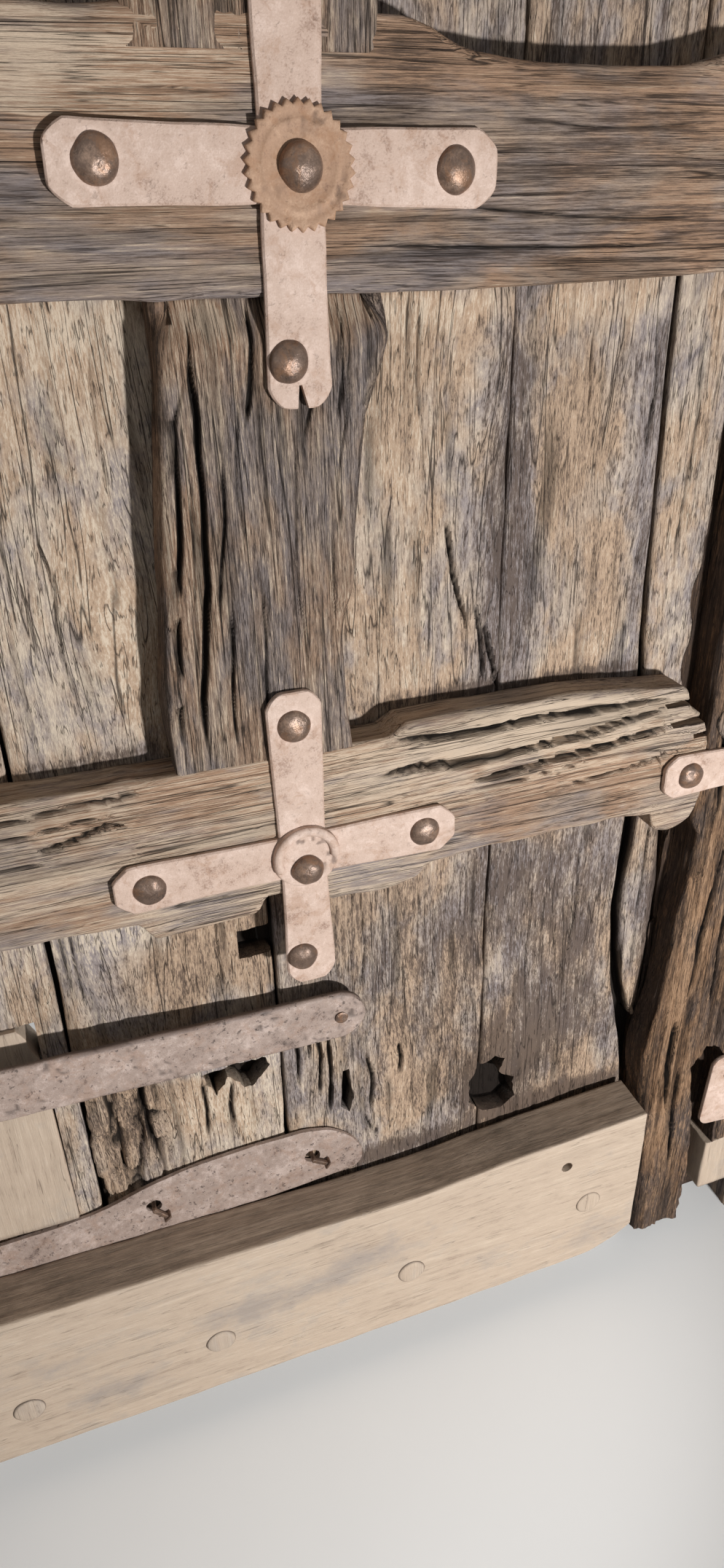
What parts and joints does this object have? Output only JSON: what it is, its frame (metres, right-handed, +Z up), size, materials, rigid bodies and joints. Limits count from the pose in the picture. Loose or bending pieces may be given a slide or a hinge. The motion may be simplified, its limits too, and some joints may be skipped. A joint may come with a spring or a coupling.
{
  "type": "arched wooden door",
  "caption": "Round-headed oak door of one leaf in its pegged timber frame, with iron crosses, strap hinges, a sliding bolt, a drop ring and a repair board.",
  "frame": {"origin": "middle of the door's footprint, on the floor under the jambs", "axes": "+Z up, X across the door with the hinges at -X, -Y out of the face with the ironwork, towards which the leaf opens"},
  "size_m": [1.36, 0.1704, 2.37],
  "materials": {
    "plank_oak": "weathered bare oak, deeply grained",
    "framing_oak": "weathered bare oak with adze facets",
    "frame_oak": "weathered bare oak",
    "peg_oak": "end grain of oak pegs",
    "new_wood": "newer pale wood, dusty",
    "strap_iron": "matt, dusty brown iron",
    "rusty_iron": "orange rust",
    "pitted_iron": "pitted grey-pink iron",
    "dark_iron": "worn dark iron"
  },
  "bodies": {
    "frame": {"bolt_keeper": "dark_iron", "frame_arch_left": "frame_oak", "frame_arch_right": "frame_oak", "frame_nails": "dark_iron", "frame_pegs": "peg_oak", "jamb_left": "frame_oak", "jamb_right": "frame_oak", "pintle_lower": "dark_iron", "pintle_upper": "dark_iron"},
    "leaf": {"bent_nails": "dark_iron", "board_plugs": "new_wood", "bolt_guides": "dark_iron", "bolt_plate": "dark_iron", "boss_nails": "dark_iron", "bottom_board": "new_wood", "cross_lower": "strap_iron", "cross_middle": "strap_iron", "cross_nails": "dark_iron", "cross_upper": "strap_iron", "foot_block": "new_wood", "foot_plate": "strap_iron", "head_pegs": "peg_oak", "hinge_nails": "dark_iron", "hinge_strap_lower": "pitted_iron", "hinge_strap_upper": "pitted_iron", "leaf_head_left": "plank_oak", "leaf_head_right": "plank_oak", "muntin_lower": "framing_oak", "muntin_middle": "framing_oak", "muntin_top": "framing_oak", "old_strap": "pitted_iron", "patch_board": "new_wood", "plank_a": "plank_oak", "plank_b": "plank_oak", "plank_c": "plank_oak", "plank_d": "plank_oak", "plank_e": "plank_oak", "rail_lower": "framing_oak", "rail_middle": "framing_oak", "rail_upper": "framing_oak", "ring_eyelet": "dark_iron", "ring_rose": "dark_iron", "rosette_lower": "rusty_iron", "rosette_middle": "rusty_iron", "rosette_upper": "rusty_iron", "small_nails": "dark_iron", "stile_left": "plank_oak", "stile_right": "plank_oak", "tee_lower_left": "strap_iron", "tee_lower_right": "strap_iron", "tee_middle_left": "strap_iron", "tee_middle_right": "strap_iron", "tee_upper_left": "strap_iron", "tee_upper_right": "strap_iron", "tenon_pegs": "peg_oak"},
    "bolt": {"slide_bolt": "dark_iron"},
    "ring": {"pull_ring": "dark_iron"}
  },
  "joints": [
    {"name": "leaf_swing", "type": "hinge", "parent": "frame", "child": "leaf", "pos_m": [-0.558, -0.06025, 0], "axis": [0, 0, -1], "range_deg": [0, 100]},
    {"name": "bolt_slide", "type": "slide", "parent": "leaf", "child": "bolt", "axis": [1, 0, 0], "range_m": [0, 0.055]},
    {"name": "ring_lift", "type": "hinge", "parent": "leaf", "child": "ring", "pos_m": [0.48, -0.05875, 1.0033], "axis": [-1, 0, 0], "range_deg": [0, 100]}
  ]
}
